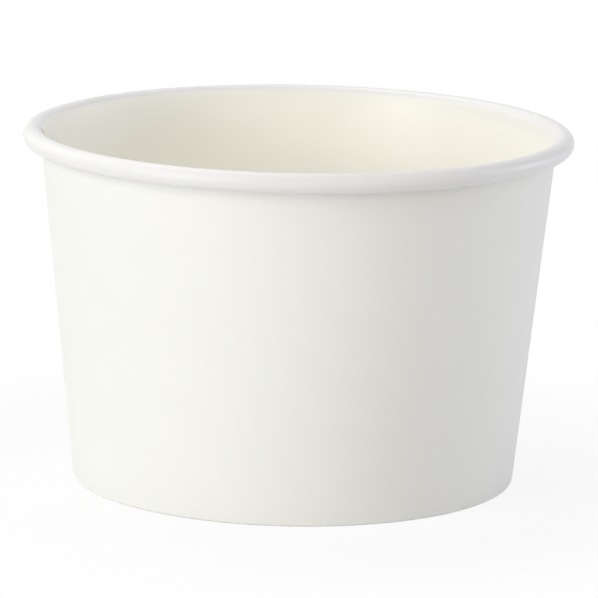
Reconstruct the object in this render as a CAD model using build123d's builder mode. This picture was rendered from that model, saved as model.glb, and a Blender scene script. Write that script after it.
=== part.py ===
from build123d import *
import os
from math import acos, asin, atan2, ceil, cos, degrees, hypot, radians, sin, tan

# Paper sundae cup, in millimetres. It stands on the plane z = 0 and its axis is Z.
# It is made of two pieces of coated paperboard. One blank is wrapped into the cone of
# the wall, lapped along one side, rolled outwards at the rim and folded in at the base.
# The other is the bottom disc, whose edge is turned down and held in that fold.

# Overall sizes.
rim_diameter = 97.0
cup_height = 62.7
base_diameter = 78.4

# Board of the wall and of the bottom disc, and the film that seals them together.
wall_board = 0.42
bottom_board = 0.32
seal_film = 0.03

# Every bend of the board is made of flat chords, which lie inside its arc by up to this.
chord_depth = 0.04

# Rolled rim, by its outside radius. The sheet turns at that radius, then tighter,
# so that its end tucks in and clears the wall.
roll_radius = 1.72
roll_full_turn = 250
roll_tuck_turn = 150
tuck_gap = 0.15

# Base: the height of the bottom disc's upper face, the radius inside the bend of its
# edge, the radius inside the wall's fold, and the room under the skirt and over the hem.
floor_height = 6.5
edge_radius = 0.3
fold_radius = 0.08
skirt_clearance = 0.15
hem_clearance = 0.5

# Side seam: the width of the lap at mid height, what the press takes off its double
# thickness, and the direction of the outside cut edge, from +X towards +Y.
lap_width = 7.0
lap_press = 0.04
seam_angle = 175.0

# Radius of the wall's outside at the base plane, and the centre of the roll.
base_radius = base_diameter / 2
roll_centre = Vector(rim_diameter / 2 - roll_radius, cup_height - roll_radius)
roll_hollow = roll_radius - wall_board
roll_middle = roll_radius - wall_board / 2

# Lean of the wall from the upright: its outside face runs from the base radius to
# touch the hollow of the roll.
roll_reach = roll_centre.X - base_radius
lean = atan2(roll_reach, roll_centre.Y) - asin(roll_hollow / hypot(roll_reach, roll_centre.Y))

# The tucked end turns about its own centre, and its nearest point is the gap from the wall.
tuck_middle = roll_middle - (wall_board + tuck_gap) / (1 - cos(radians(roll_full_turn)))

# Depths, square in from the wall's outside face, of the middles of the wall, of the
# skirt inside it and of the hem inside that.
wall_depth = wall_board / 2
skirt_depth = wall_board + seal_film + bottom_board / 2
hem_depth = skirt_depth + bottom_board / 2 + seal_film + wall_board / 2

# Heights of the skirt's lower edge, over the fold, and of the hem's upper edge, under
# the bend of the bottom disc.
skirt_foot = wall_board + skirt_clearance
hem_top = floor_height - bottom_board - edge_radius * (1 + sin(lean)) - hem_clearance

# The lap: one end of the blank lies a step inside the other, and the wall works its
# way in by that step over half a turn, about an axis that is moved by half of it.
lap_step = wall_board - lap_press
lap_angle = degrees(lap_width / (base_radius + cup_height / 2 * tan(lean)))
wrap_turn = 180
cup_axis = Axis.Z
wrap_axis = Axis(Vector(-lap_step / 2, 0).rotate(Axis.Z, seam_angle), (0, 0, 1))


def radial_plane(turn):
    """Upright plane from the cup's axis, a turn on from the outside cut edge."""
    outward = Vector(1, 0, 0).rotate(Axis.Z, seam_angle + turn)
    return Plane(origin=(0, 0, 0), x_dir=outward, z_dir=outward.cross(Vector(0, 0, 1)))


def wall_point(depth, height):
    """Point at a depth square in from the wall's outside face, at a height."""
    return Vector(base_radius + height * tan(lean) - depth / cos(lean), height)


def board_section(middle, board):
    """Section of a board, from the line of its middle, whose bends it follows in chords."""
    points = [middle @ 0]
    for edge in middle.order_edges():
        chords = 1
        if edge.geom_type == GeomType.CIRCLE:
            chord_turn = 2 * acos(1 - chord_depth / edge.radius)
            chords = ceil(edge.length / edge.radius / chord_turn)
        points += edge.positions((chord + 1) / chords for chord in range(chords))
    with BuildLine() as path:
        Polyline(*points)
    trace(path.line, line_width=board)


def wall_section(hem_inset):
    """Section of the wall's board, with its hem, base fold and rolled rim."""
    with BuildLine() as middle:
        board = FilletPolyline(
            wall_point(hem_depth, hem_top) - Vector(hem_inset, 0),
            wall_point(hem_depth, wall_board / 2) - Vector(hem_inset, 0),
            wall_point(wall_depth, wall_board / 2),
            wall_point(wall_depth, roll_centre.Y + roll_middle * sin(lean)),
            radius=fold_radius + wall_board / 2,
        )
        roll = JernArc(board @ 1, board % 1, roll_middle, -roll_full_turn)
        JernArc(roll @ 1, roll % 1, tuck_middle, -roll_tuck_turn)
    board_section(middle.wire(), wall_board)


def inner_lap_section():
    """Section of the inner lap: it stands in the fold and runs up into the roll."""
    with BuildLine() as middle:
        board = Line(
            wall_point(wall_depth, wall_board / 2) - Vector(lap_step, 0),
            wall_point(wall_depth, roll_centre.Y + roll_middle * sin(lean)) - Vector(lap_step, 0),
        )
        JernArc(board @ 1, board % 1, roll_middle, -roll_full_turn / 2)
    board_section(middle.wire(), wall_board)
    with Locations(roll_centre):
        Circle(roll_hollow, mode=Mode.SUBTRACT)


def disc_section(start, inset):
    """Section of the bottom disc from near the axis out, with its turned-down skirt."""
    level = floor_height - bottom_board / 2
    with BuildLine() as middle:
        FilletPolyline(
            (start, level),
            wall_point(skirt_depth, level) - Vector(inset, 0),
            wall_point(skirt_depth, skirt_foot) - Vector(inset, 0),
            radius=edge_radius + bottom_board / 2,
        )
    board_section(middle.wire(), bottom_board)


# The side wall, rolled and folded from one blank.
with BuildPart() as side_wall:
    with BuildSketch(radial_plane(wrap_turn)) as wall_half:
        wall_section(0)
    revolve(wall_half.sketch, axis=cup_axis, revolution_arc=lap_angle - wrap_turn)
    revolve(wall_half.sketch, axis=wrap_axis, revolution_arc=wrap_turn)
    with BuildSketch(radial_plane(0)) as lap:
        inner_lap_section()
        wall_section(lap_step)
    revolve(lap.sketch, axis=cup_axis, revolution_arc=lap_angle)

# The bottom disc, pressed against the inside of the wall all round.
with BuildPart() as bottom_disc:
    with BuildSketch(radial_plane(wrap_turn)):
        disc_section(0, 0)
    revolve(axis=cup_axis, revolution_arc=lap_angle - wrap_turn)
    with BuildSketch(radial_plane(wrap_turn)):
        disc_section(lap_step / 2, 0)
    revolve(axis=wrap_axis, revolution_arc=wrap_turn)
    with BuildSketch(radial_plane(0)):
        disc_section(0, lap_step)
    revolve(axis=cup_axis, revolution_arc=lap_angle)

side_wall.part.label = "side_wall"
bottom_disc.part.label = "bottom_disc"

os.makedirs("parts", exist_ok=True)
export_step(side_wall.part, "parts/side_wall.step")
export_step(bottom_disc.part, "parts/bottom_disc.step")
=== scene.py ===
from math import asin, atan2, ceil, cos, hypot, pi, radians, sin, tan

import bmesh
import bpy
from mathutils import Matrix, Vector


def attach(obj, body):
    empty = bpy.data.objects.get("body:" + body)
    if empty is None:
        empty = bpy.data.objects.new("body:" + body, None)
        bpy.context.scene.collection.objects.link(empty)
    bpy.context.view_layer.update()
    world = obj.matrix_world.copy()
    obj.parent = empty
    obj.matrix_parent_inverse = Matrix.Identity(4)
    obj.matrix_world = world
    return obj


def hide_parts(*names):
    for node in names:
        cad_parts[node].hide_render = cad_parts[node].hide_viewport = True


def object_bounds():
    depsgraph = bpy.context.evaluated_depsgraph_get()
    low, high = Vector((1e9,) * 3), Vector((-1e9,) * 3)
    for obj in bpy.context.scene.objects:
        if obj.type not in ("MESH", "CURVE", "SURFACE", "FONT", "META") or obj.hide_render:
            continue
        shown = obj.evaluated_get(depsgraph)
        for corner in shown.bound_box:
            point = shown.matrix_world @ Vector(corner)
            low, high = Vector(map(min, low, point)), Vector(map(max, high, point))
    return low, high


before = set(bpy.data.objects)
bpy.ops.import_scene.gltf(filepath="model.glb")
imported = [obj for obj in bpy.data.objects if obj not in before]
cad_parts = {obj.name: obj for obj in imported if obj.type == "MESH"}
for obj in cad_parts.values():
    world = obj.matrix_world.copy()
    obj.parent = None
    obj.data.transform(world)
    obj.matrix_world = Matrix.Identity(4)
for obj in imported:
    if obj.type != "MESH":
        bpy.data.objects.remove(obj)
cad_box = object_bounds()

# Side wall: one blank of white paperboard, matt outside and filmed inside. It is wrapped
# into a cone and sealed down a lap, its top is rolled outwards on itself, and its lower
# edge is folded in, up round the skirt of the bottom disc.

# Outer sizes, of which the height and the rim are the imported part's.
mm = 0.001
cup_height = cad_box[1].z
rim_radius = cad_box[1].x
base_radius = 39.2 * mm

# The board, and how far one end of the blank lies inside the other. In the wall each layer
# of the lap is pressed to a share of that step. In the roll a layer keeps a small share of
# the board at its own cut edge and a large one at the other's, together just under one
# board. The seam's direction is that of its outside cut edge, from +X towards +Y.
wall_board = 0.42 * mm
lap_step = 0.38 * mm
lap_press = 0.985
cut_share = 0.08
whole_share = 0.90
seam_direction = radians(175)

# The rolled rim: the sheet turns at its outside radius, then tighter, and its end tucks in.
# The layers of the lap settle into the roll over the turn of its entry. The end of the
# blank is cut lower, so that in the lap its layer has only part of the tuck.
roll_radius = 1.72 * mm
roll_turn = radians(250)
roll_entry = radians(75)
tuck_turn = radians(150)
end_tuck_share = 0.23
tuck_gap = 0.15 * mm
roll_hollow = roll_radius - wall_board
roll_middle = roll_radius - wall_board / 2
roll_centre = (rim_radius - roll_radius, cup_height - roll_radius)

# Lean of the wall: its outside face touches the hollow of the roll.
roll_reach = roll_centre[0] - base_radius
roll_rise = roll_centre[1]
lean = atan2(roll_reach, roll_rise) - asin(roll_hollow / hypot(roll_reach, roll_rise))
up_wall = pi / 2 - lean

# The fold at the base, the board of the bottom disc held in it, and the film between. The
# radii of the disc's edge and of the fold are those inside the bends.
bottom_board = 0.32 * mm
seal_film = 0.03 * mm
floor_height = 6.5 * mm
edge_radius = 0.3 * mm
fold_radius = 0.08 * mm
hem_clearance = 0.52 * mm
edge_bend = edge_radius + bottom_board / 2
fold_bend = fold_radius + wall_board / 2
skirt_depth = wall_board + seal_film + bottom_board / 2
hem_depth = skirt_depth + bottom_board / 2 + seal_film + wall_board / 2
hem_top = floor_height - bottom_board - edge_radius * (1 + sin(lean)) - hem_clearance

# The lap, by its width at mid height, the turn after it in which the start of the blank
# settles back, and the turn before it in which the end of the blank climbs on to the start.
full_circle = 2 * pi
lap_width = 7.0 * mm
lap_turn = lap_width / (base_radius + cup_height / 2 * tan(lean))
blank_turn = full_circle + lap_turn
settle_turn = radians(9)
climb_turn = radians(20)

# The knurling wheel's flutes, pressed into the hem to seal it.
knurl_flutes = 144
knurl_depth = 0.12 * mm
knurl_margin = 0.7 * mm

# Steps of the mesh along a straight run, a tight bend, the roll and its tuck, and columns
# of it to each flute. Points within the weld distance are joined, and edges that turn by
# more than the sharp angle stay sharp.
run_steps = 9
bend_steps = 4
roll_steps = 26
tuck_steps = 12
flute_columns = 4
weld_distance = 0.0005 * mm
sharp_edge = radians(40)

# Places of the board's finishes in a piece's list of them, the depth of the pulp's relief,
# and the band in from the rim over which the film turns to a painted shade on the roll:
# darker and cooler there, as painted shade and cool light.
film_finish, matt_finish, cut_finish = range(3)
relief_depth = 0.03 * mm
roll_shade_start = 3.8 * mm
roll_shade_end = 3.1 * mm


def eased(share):
    """A share from 0 to 1, with a gentle start and end."""
    share = min(max(share, 0), 1)
    return share * share * (3 - 2 * share)


def lapped(turn):
    """How far the start of the blank lies over its end: 1 in the lap, then back to 0."""
    return 1 - eased((turn - lap_turn) / settle_turn)


def climbed(turn):
    """How far the end of the blank has climbed on to its start: 1 from there on."""
    return eased(1 - (full_circle - turn) / climb_turn)


def wall_inset(turn):
    """How far in the wall lies: it works in by the lap's step over the second half turn."""
    if turn < pi:
        return 0
    return lap_step if turn > full_circle else lap_step * (1 + cos(turn)) / 2


def skirt_inset(turn):
    """How far in the skirt of the bottom disc lies, inside both layers of the lap."""
    return wall_inset(turn) + lap_step * lapped(turn)


def at_depth(depth, height):
    """Distance from the axis of a face at a depth square in from the wall's outside."""
    return base_radius + height * tan(lean) - depth / cos(lean)


def straight(start, end, heading, steps):
    """Stations along a straight run, its ends left out: distance, height and heading."""
    run = (end[0] - start[0], end[1] - start[1])
    shares = [step / steps for step in range(1, steps)]
    return [
        (start[0] + run[0] * share, start[1] + run[1] * share, heading) for share in shares
    ]


def bent(centre, radius, heading, turn, steps):
    """Stations round a bend, its ends too: to the left if the turn is positive."""
    side = 1 if turn > 0 else -1
    headings = [heading + turn * step / steps for step in range(steps + 1)]
    return [
        (centre[0] + side * radius * sin(now), centre[1] - side * radius * cos(now), now)
        for now in headings
    ]


def hem_and_wall(turn, roll_start):
    """Stations up to the roll: down the hem, round the fold, and up the wall."""
    inset = wall_inset(turn)
    down_hem = up_wall - pi
    fold_height = wall_board / 2 + fold_bend + lap_step * climbed(turn)
    hem_inset = skirt_inset(turn) + lap_step * lapped(turn)
    hem_start = (at_depth(hem_depth, hem_top) - hem_inset, hem_top, down_hem)
    hem_centre = at_depth(hem_depth, fold_height) - hem_inset + fold_bend / cos(lean)
    hem_bend = bent((hem_centre, fold_height), fold_bend, down_hem, -down_hem, bend_steps)
    wall_centre = at_depth(wall_board / 2, fold_height) - inset - fold_bend / cos(lean)
    wall_bend = bent((wall_centre, fold_height), fold_bend, 0, up_wall, bend_steps)
    return [
        hem_start, *straight(hem_start, hem_bend[0], down_hem, run_steps), *hem_bend,
        *wall_bend, *straight(wall_bend[-1], roll_start, up_wall, run_steps),
    ]


def wall_middle(turn):
    """Stations along the middle of the wall's board, and the board's thickness at each."""
    # Both layers of the lap are pressed, and more so in the roll, where the end of the
    # blank lies outside its start. The entry of the roll takes up the difference.
    doubled = max(lapped(turn), climbed(turn))
    board = wall_board + (lap_step * cos(lean) * lap_press - wall_board) * doubled
    from_cut = min(turn, blank_turn - turn, lap_turn) / lap_turn
    roll_share = cut_share + (whole_share - cut_share) * from_cut
    pressed = wall_board * (1 + (roll_share - 1) * doubled)
    radius = roll_hollow + pressed / 2 if turn < pi else roll_radius - pressed / 2
    centre = (roll_centre[0] - wall_inset(turn) * (1 - climbed(turn)), roll_centre[1])
    spread = roll_middle + wall_inset(turn) * climbed(turn) * cos(lean) - radius
    roll = []
    for distance, height, heading in bent(centre, radius, up_wall, -roll_turn, roll_steps):
        entered = eased((up_wall - heading) / roll_entry)
        out = spread * (1 - entered)
        distance -= out * sin(heading)
        height += out * cos(heading)
        roll.append((distance, height, heading, board + (pressed - board) * entered))

    tuck_radius = radius - (wall_board + tuck_gap) / (1 - cos(roll_turn))
    tuck_start = up_wall - roll_turn
    tuck_centre = (
        centre[0] - (radius - tuck_radius) * sin(tuck_start),
        centre[1] + (radius - tuck_radius) * cos(tuck_start),
    )
    tuck_share = 1 + (end_tuck_share - 1) * climbed(turn)
    tuck = bent(tuck_centre, tuck_radius, tuck_start, -tuck_turn * tuck_share, tuck_steps)
    return [
        *((*station, board) for station in hem_and_wall(turn, roll[0])), *roll,
        *((*station, pressed) for station in tuck[1:]),
    ]


def knurled(turn, height):
    """Depth of a flute in the hem, which fades out towards its upper edge and the fold."""
    fade = eased((hem_top - height) / knurl_margin)
    fade *= eased((height - wall_board) / knurl_margin)
    return knurl_depth * fade * (1 - cos(knurl_flutes * turn)) / 2


def on_cup(turn, distance, height):
    """Point at a turn from the seam, a distance from the axis and a height."""
    direction = seam_direction + turn
    return (distance * cos(direction), distance * sin(direction), height)


def board_faces(turn, middle, has_hem):
    """Points on the board's two faces at a turn: on the filmed one, then on the matt."""
    filmed = []
    matt = []
    for distance, height, heading, board in middle:
        side = (-sin(heading) * board / 2, cos(heading) * board / 2)
        in_hem = has_hem and heading < 0 and distance < base_radius
        flute = knurled(turn, height) if in_hem else 0
        filmed.append(on_cup(turn, distance + side[0], height + side[1]))
        matt.append(on_cup(turn, distance - side[0] + flute, height - side[1]))
    return filmed, matt


def board_mesh(name, columns, is_disc):
    """Mesh of a board from its columns: filmed face, matt face and cut edges."""
    count = len(columns[0][0])
    stride = 2 * count
    points = [point for filmed, matt in columns for point in filmed + matt]
    faces = []
    finishes = []
    for column in range(len(columns) if is_disc else len(columns) - 1):
        here = column * stride
        there = (column + 1) % len(columns) * stride
        for row in range(count - 1):
            filmed_face = (here + row, here + row + 1, there + row + 1, there + row)
            matt_face = tuple(corner + count for corner in reversed(filmed_face))
            faces += [filmed_face, matt_face]
            finishes += [film_finish, matt_finish]
        for row in [count - 1] if is_disc else [0, count - 1]:
            faces.append((here + row, there + row, there + row + count, here + row + count))
            finishes.append(cut_finish)
    if not is_disc:
        for first in (0, (len(columns) - 1) * stride):
            for row in range(first, first + count - 1):
                faces.append((row, row + count, row + 1 + count, row + 1))
                finishes.append(cut_finish)
    mesh = bpy.data.meshes.new(name)
    mesh.from_pydata(points, [], faces)
    for face, finish in zip(mesh.polygons, finishes):
        face.material_index = finish
    return mesh


def finished_piece(name, mesh):
    """Piece from a mesh: welded, smooth over its faces and sharp at its cut edges."""
    form = bmesh.new()
    form.from_mesh(mesh)
    bmesh.ops.remove_doubles(form, verts=form.verts, dist=weld_distance)
    bmesh.ops.recalc_face_normals(form, faces=form.faces)
    form.to_mesh(mesh)
    form.free()
    mesh.shade_smooth()
    mesh.set_sharp_from_angle(angle=sharp_edge)
    for finish in board_finishes:
        mesh.materials.append(finish)
    piece = bpy.data.objects.new(name, mesh)
    bpy.context.collection.objects.link(piece)
    return piece


class Shade:
    """A socket of a material. Sums on it add Math nodes, and node() adds any other node."""

    def __init__(self, tree, socket=None):
        self.tree = tree
        self.socket = socket

    def node(self, kind, settings, sockets, output=None):
        """Adds a node: its settings first, then its sockets by name or place.

        Gives the output of that name, or else the first.
        """
        made = self.tree.nodes.new("ShaderNode" + kind)
        for name, value in settings.items():
            setattr(made, name, value)
        inputs = [each for each in made.inputs if each.enabled]
        for name, value in sockets.items():
            if isinstance(name, int):
                socket = made.inputs[name]
            else:
                socket = next(each for each in inputs if each.name == name)
            if isinstance(value, Shade):
                self.tree.links.new(value.socket, socket)
            else:
                socket.default_value = value
        outputs = [
            each for each in made.outputs if each.enabled and output in (None, each.name)
        ]
        return Shade(self.tree, outputs[0] if outputs else None)

    def math(self, operation, first, second):
        """A Math node on two numbers or shades."""
        return self.node("Math", {"operation": operation}, {0: first, 1: second})

    def __add__(self, other):
        return self.math("ADD", self, other)

    __radd__ = __add__

    def __mul__(self, other):
        return self.math("MULTIPLY", self, other)

    __rmul__ = __mul__


def new_finish(name):
    """An empty material, and a shade to build it from."""
    finish = bpy.data.materials.new(name)
    finish.use_nodes = True
    finish.node_tree.nodes.clear()
    return finish, Shade(finish.node_tree)


def paper_pulp(shade, size, upright=1.0):
    """Uneven pulp in the board, at a size in metres, drawn out upright: 0 to 1."""
    place = shade.node("TexCoord", {}, {}, "Object")
    drawn_out = (1, 1, 1 / upright)
    place = shade.node("VectorMath", {"operation": "MULTIPLY"}, {0: place, 1: drawn_out})
    return shade.node("TexNoise", {}, {
        "Vector": place, "Scale": 1 / size, "Detail": 3.0, "Roughness": 0.55,
    })


def from_axis(shade):
    """Distance from the cup's axis."""
    place = shade.node("TexCoord", {}, {}, "Object")
    level = (1, 1, 0)
    place = shade.node("VectorMath", {"operation": "MULTIPLY"}, {0: place, 1: level})
    return shade.node("VectorMath", {"operation": "LENGTH"}, {0: place}, "Value")


def blend(shade, share, first, second):
    """One colour blended into another by a share."""
    return shade.node("Mix", {"data_type": "RGBA"}, {
        "Factor": share, "A": first, "B": second,
    })


def matt_board():
    """Outside of the board: bare pressed pulp, with a faint cloud, a tooth and fibres."""
    finish, shade = new_finish("matt_board")
    cloud = paper_pulp(shade, 9 * mm)
    tooth = paper_pulp(shade, 0.8 * mm)
    fibre = paper_pulp(shade, 0.18 * mm, upright=3.0)
    dense_pulp = (0.884, 0.883, 0.846, 1)
    thin_pulp = (0.848, 0.846, 0.810, 1)
    unevenness = cloud * 0.5 + tooth * 0.25 + fibre * 0.25
    relief = shade.node("Bump", {}, {
        "Strength": 0.6, "Distance": relief_depth, "Height": tooth * 0.6 + fibre * 0.4,
    })
    board = shade.node("BsdfPrincipled", {}, {
        "Base Color": blend(shade, unevenness, dense_pulp, thin_pulp),
        "Roughness": 0.62 + 0.1 * tooth, "Specular IOR Level": 0.3,
        "Normal": relief,
    })
    shade.node("OutputMaterial", {}, {"Surface": board})
    return finish


def filmed_board():
    """Inside of the board: pulp under a thin clear film, painted darker and cooler on the
    roll as painted shade and cool light.
    """
    finish, shade = new_finish("filmed_board")
    cloud = paper_pulp(shade, 7 * mm)
    ripple = paper_pulp(shade, 2.2 * mm)
    tooth = paper_pulp(shade, 0.6 * mm)
    dense_pulp = (0.952, 0.936, 0.866, 1)
    thin_pulp = (0.922, 0.905, 0.835, 1)
    # The same film gets two colours: the warmer one inside the cup, and on the roll a
    # darker, cooler one that is painted shade and cool light.
    roll_painted_shade = (0.806, 0.800, 0.790, 1)
    roll_shade_share = shade.node("MapRange", {"interpolation_type": "SMOOTHSTEP"}, {
        "Value": from_axis(shade),
        "From Min": rim_radius - roll_shade_start, "From Max": rim_radius - roll_shade_end,
    })
    inside = blend(shade, cloud * 0.7 + tooth * 0.3, dense_pulp, thin_pulp)
    relief = shade.node("Bump", {}, {
        "Strength": 0.5, "Distance": relief_depth, "Height": ripple * 0.8 + tooth * 0.2,
    })
    board = shade.node("BsdfPrincipled", {}, {
        "Base Color": blend(shade, roll_shade_share, inside, roll_painted_shade),
        "Roughness": 0.42 + 0.1 * ripple, "Specular IOR Level": 0.4,
        "Coat Weight": 0.15, "Coat Roughness": 0.3,
        "Normal": relief,
    })
    shade.node("OutputMaterial", {}, {"Surface": board})
    return finish


def cut_board():
    """Cut edge of the board: raw layered fibre, darker and rough."""
    finish, shade = new_finish("cut_board")
    fibre = paper_pulp(shade, 0.12 * mm)
    pale_fibre = (0.910, 0.895, 0.850, 1)
    dark_fibre = (0.840, 0.820, 0.765, 1)
    relief = shade.node("Bump", {}, {
        "Strength": 0.6, "Distance": relief_depth, "Height": fibre,
    })
    board = shade.node("BsdfPrincipled", {}, {
        "Base Color": blend(shade, fibre, pale_fibre, dark_fibre),
        "Roughness": 0.85, "Specular IOR Level": 0.2,
        "Normal": relief,
    })
    shade.node("OutputMaterial", {}, {"Surface": board})
    return finish


board_finishes = [filmed_board(), matt_board(), cut_board()]

wall_columns = ceil(blank_turn / full_circle * knurl_flutes * flute_columns)
wall_turns = [blank_turn * column / wall_columns for column in range(wall_columns + 1)]
wall_faces = [board_faces(turn, wall_middle(turn), True) for turn in wall_turns]
side_wall = finished_piece("side_wall_board", board_mesh("side_wall", wall_faces, False))
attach(side_wall, "root")
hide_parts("side_wall")

# Bottom disc: a disc of thinner board, filmed on top. Its edge is turned down into a skirt
# all round, which is sealed between the wall and the hem. Its middle sags a little.
skirt_clearance = 0.15 * mm
skirt_foot = wall_board + skirt_clearance
disc_sag = 0.12 * mm
disc_columns = 288
disc_steps = 24
edge_steps = 8
skirt_steps = 6


def sagged(distance):
    """How far the disc sags at a distance from its middle."""
    share = min(distance / base_radius, 1)
    return disc_sag * (1 + cos(pi * share)) / 2


def disc_middle(turn):
    """Stations along the middle of the disc's board, from the axis to the skirt's edge."""
    level = floor_height - bottom_board / 2
    inset = skirt_inset(turn)
    foot = skirt_foot + inset
    down_skirt = up_wall - pi
    bend_height = level - edge_bend
    bend_centre = at_depth(skirt_depth, bend_height) - inset - edge_bend / cos(lean)
    bend = bent((bend_centre, bend_height), edge_bend, 0, down_skirt, edge_steps)
    flat = [(0, level, 0), *straight((0, level), bend[0], 0, disc_steps)]
    flat = [
        (distance, height - sagged(distance), heading) for distance, height, heading in flat
    ]
    end = (at_depth(skirt_depth, foot) - inset, foot, down_skirt)
    stations = [*flat, *bend, *straight(bend[-1], end, down_skirt, skirt_steps), end]
    return [(*station, bottom_board) for station in stations]


disc_turns = [full_circle * column / disc_columns for column in range(disc_columns)]
disc_faces = [board_faces(turn, disc_middle(turn), False) for turn in disc_turns]
disc_mesh = board_mesh("bottom_disc", disc_faces, True)
bottom_disc = finished_piece("bottom_disc_board", disc_mesh)
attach(bottom_disc, "root")
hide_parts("bottom_disc")

# Table: a plain white sheet under the cup. The camera sees it as white paper, with part of
# the cup's own shadow left near the base, and it lights the cup as pale paper does.
table_side = 4.0
table_drop = 0.05 * mm
table_paper = (0.9, 0.9, 0.9, 1)
pure_white = (1, 1, 1, 1)

# White that is laid over the shadow, and the distances from the cup's axis between which
# that white grows to the whole.
shadow_white = 0.85
shadow_start = 50 * mm
shadow_end = 110 * mm


def seen(shade):
    """1 for the rays that look at a thing or mirror it, and 0 for those that light it."""
    camera, glossy, transmission = [
        shade.node("LightPath", {}, {}, "Is " + kind + " Ray")
        for kind in ("Camera", "Glossy", "Transmission")
    ]
    return shade.math("MAXIMUM", shade.math("MAXIMUM", camera, glossy), transmission)


table_half = table_side / 2
table_corners = [
    (-table_half, -table_half, 0), (table_half, -table_half, 0),
    (table_half, table_half, 0), (-table_half, table_half, 0),
]
table_mesh = bpy.data.meshes.new("table")
table_mesh.from_pydata(table_corners, [], [(0, 1, 2, 3)])
table_finish, table_shade = new_finish("white_table")
whiteness = table_shade.node("MapRange", {"interpolation_type": "SMOOTHSTEP"}, {
    "Value": from_axis(table_shade), "From Min": shadow_start, "From Max": shadow_end,
    "To Min": shadow_white, "To Max": 1.0,
})
white = table_shade.node("Emission", {}, {"Color": pure_white, "Strength": 1.0})
paper = table_shade.node("BsdfDiffuse", {}, {"Color": table_paper})
sheet = table_shade.node("MixShader", {}, {
    0: seen(table_shade) * whiteness, 1: paper, 2: white,
})
table_shade.node("OutputMaterial", {}, {"Surface": sheet})
table_mesh.materials.append(table_finish)
table = bpy.data.objects.new("table", table_mesh)
table.location.z = -table_drop
bpy.context.collection.objects.link(table)

# Light: soft square lamps in a ring, the strongest to the front left, as in a light tent.
# The room behind is seen as white, and adds hardly any light of its own.
lamp_distance = 1.0
wide = 0.6
narrow = 0.2
plain_light = (1, 1, 1)
warm_light = (1.05, 1.00, 0.88)
cool_light = (0.96, 1.00, 1.18)
room_strength = 0.02

# Each lamp's turn to the right from the viewer, its elevation, side, power in watts and
# colour.
lamps = [
    ("key_lamp", radians(-50), radians(25), wide, 4.24, plain_light),
    ("low_key_lamp", radians(-50), radians(8), narrow, 1.60, plain_light),
    ("high_front_lamp", radians(-30), radians(55), wide, 0.82, plain_light),
    ("front_lamp", radians(30), radians(25), wide, 1.66, warm_light),
    ("upper_lamp", radians(45), radians(60), wide, 1.52, plain_light),
    ("right_lamp", radians(90), radians(25), wide, 1.22, cool_light),
    ("low_right_lamp", radians(110), radians(8), narrow, 1.68, cool_light),
    ("left_back_lamp", radians(-120), radians(25), wide, 1.42, plain_light),
    ("high_back_lamp", radians(-150), radians(60), wide, 3.88, plain_light),
]
for name, azimuth, elevation, side, power, colour in lamps:
    lamp = bpy.data.lights.new(name, "AREA")
    lamp.size = side
    lamp.energy = power
    lamp.color = colour
    holder = bpy.data.objects.new(name, lamp)
    bpy.context.collection.objects.link(holder)
    holder.matrix_world = (
        Matrix.Translation((0, 0, cup_height / 2))
        @ Matrix.Rotation(azimuth, 4, "Z")
        @ Matrix.Rotation(pi / 2 - elevation, 4, "X")
        @ Matrix.Translation((0, 0, lamp_distance))
    )

world = bpy.data.worlds.new("room")
world.use_nodes = True
world.node_tree.nodes.clear()
room_shade = Shade(world.node_tree)
room = room_shade.node("Background", {}, {"Color": pure_white, "Strength": room_strength})
backdrop = room_shade.node("Background", {}, {"Color": pure_white, "Strength": 1.0})
around = room_shade.node("MixShader", {}, {0: seen(room_shade), 1: room, 2: backdrop})
room_shade.node("OutputWorld", {}, {"Surface": around})
bpy.context.scene.world = world

# Camera: a long lens a little above the rim, turned a touch about its own axis. Its aim
# is a point on the cup's axis near mid height.
aim_height = 31.648 * mm
view_distance = 839.2 * mm
view_elevation = radians(11.683)
view_roll = radians(1.0895)
camera = bpy.data.cameras.new("camera")
camera.lens = 284.63
camera.sensor_width = 36.0
camera.shift_x = 0.0055
camera.clip_end = 10.0
viewer = bpy.data.objects.new("camera", camera)
bpy.context.collection.objects.link(viewer)
viewer.matrix_world = (
    Matrix.Translation((0, 0, aim_height))
    @ Matrix.Rotation(pi / 2 - view_elevation, 4, "X")
    @ Matrix.Rotation(view_roll, 4, "Z")
    @ Matrix.Translation((0, 0, view_distance))
)
bpy.context.scene.camera = viewer
bpy.context.scene.view_settings.view_transform = "Standard"
